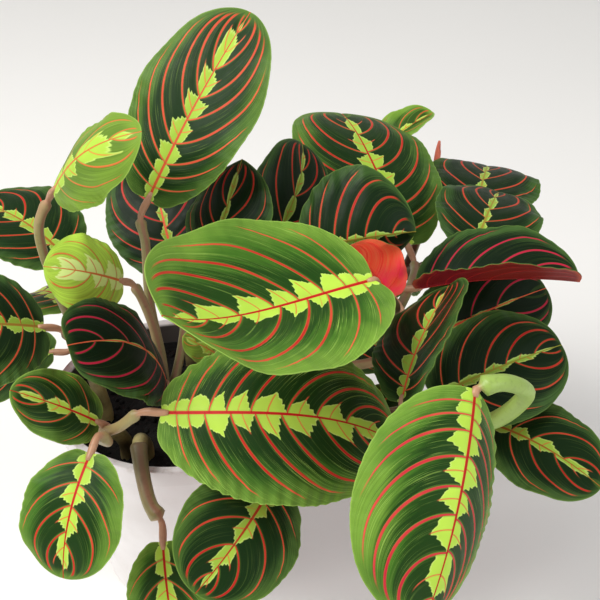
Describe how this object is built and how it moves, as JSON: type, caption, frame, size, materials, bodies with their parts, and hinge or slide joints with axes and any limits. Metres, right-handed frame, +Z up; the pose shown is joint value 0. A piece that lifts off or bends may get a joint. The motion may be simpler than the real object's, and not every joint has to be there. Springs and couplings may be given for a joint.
{
  "type": "potted fascinator prayer plant",
  "caption": "Leafy houseplant in a tapered growing pot: broad arched leaves with red veins and a lime midrib band on sheathed stalks, standing on its flat base.",
  "frame": {"origin": "centre of the pot's flat base", "axes": "+Z up out of the pot; -Y is the side with the large middle leaf that the picture looks at; +X is to its right"},
  "size_m": [0.3213, 0.302, 0.3036],
  "materials": {
    "pot_plastic": "satin",
    "soil": "matte",
    "stalk": "satin",
    "dark_blade": "satin",
    "green_blade": "satin",
    "young_blade": "satin",
    "rolled_blade": "satin"
  },
  "bodies": {
    "root": {"pot": "pot_plastic", "soil": "soil", "blade_tall_left": "dark_blade", "blade_behind_tall": "dark_blade", "blade_young_left": "young_blade", "blade_young_top": "young_blade", "blade_far_left": "dark_blade", "blade_lower_front": "green_blade", "blade_left_low": "green_blade", "blade_left_hanging": "green_blade", "blade_left_dark": "dark_blade", "blade_under_front": "dark_blade", "blade_small_young": "young_blade", "blade_over_rim": "green_blade", "blade_main": "green_blade", "blade_red_back": "dark_blade", "blade_upper_right": "green_blade", "blade_right_folded": "dark_blade", "blade_right_deep": "dark_blade", "blade_inner_right": "dark_blade", "blade_centre_left": "dark_blade", "blade_centre": "dark_blade", "blade_centre_right": "dark_blade", "blade_right_grey": "dark_blade", "blade_right_mid": "dark_blade", "blade_front_right": "green_blade", "blade_right_low": "dark_blade", "blade_right_under": "green_blade", "blade_rolled": "rolled_blade", "blade_back_top": "green_blade", "blade_back_right": "dark_blade", "blade_far_right": "dark_blade", "blade_back_right_low": "dark_blade", "blade_back_middle": "dark_blade", "blade_back_inner": "green_blade", "blade_back_upper": "dark_blade", "blade_back_low": "dark_blade", "blade_back_left": "dark_blade", "blade_back_left_low": "green_blade", "blade_left_side_low": "dark_blade", "shoot_tall_left": "stalk", "shoot_left": "stalk", "shoot_front_left": "stalk", "shoot_front": "stalk", "shoot_over_rim": "stalk", "shoot_right": "stalk", "shoot_centre": "stalk", "shoot_front_right": "stalk", "shoot_back_right": "stalk", "shoot_back": "stalk", "shoot_back_left": "stalk"}
  },
  "joints": []
}
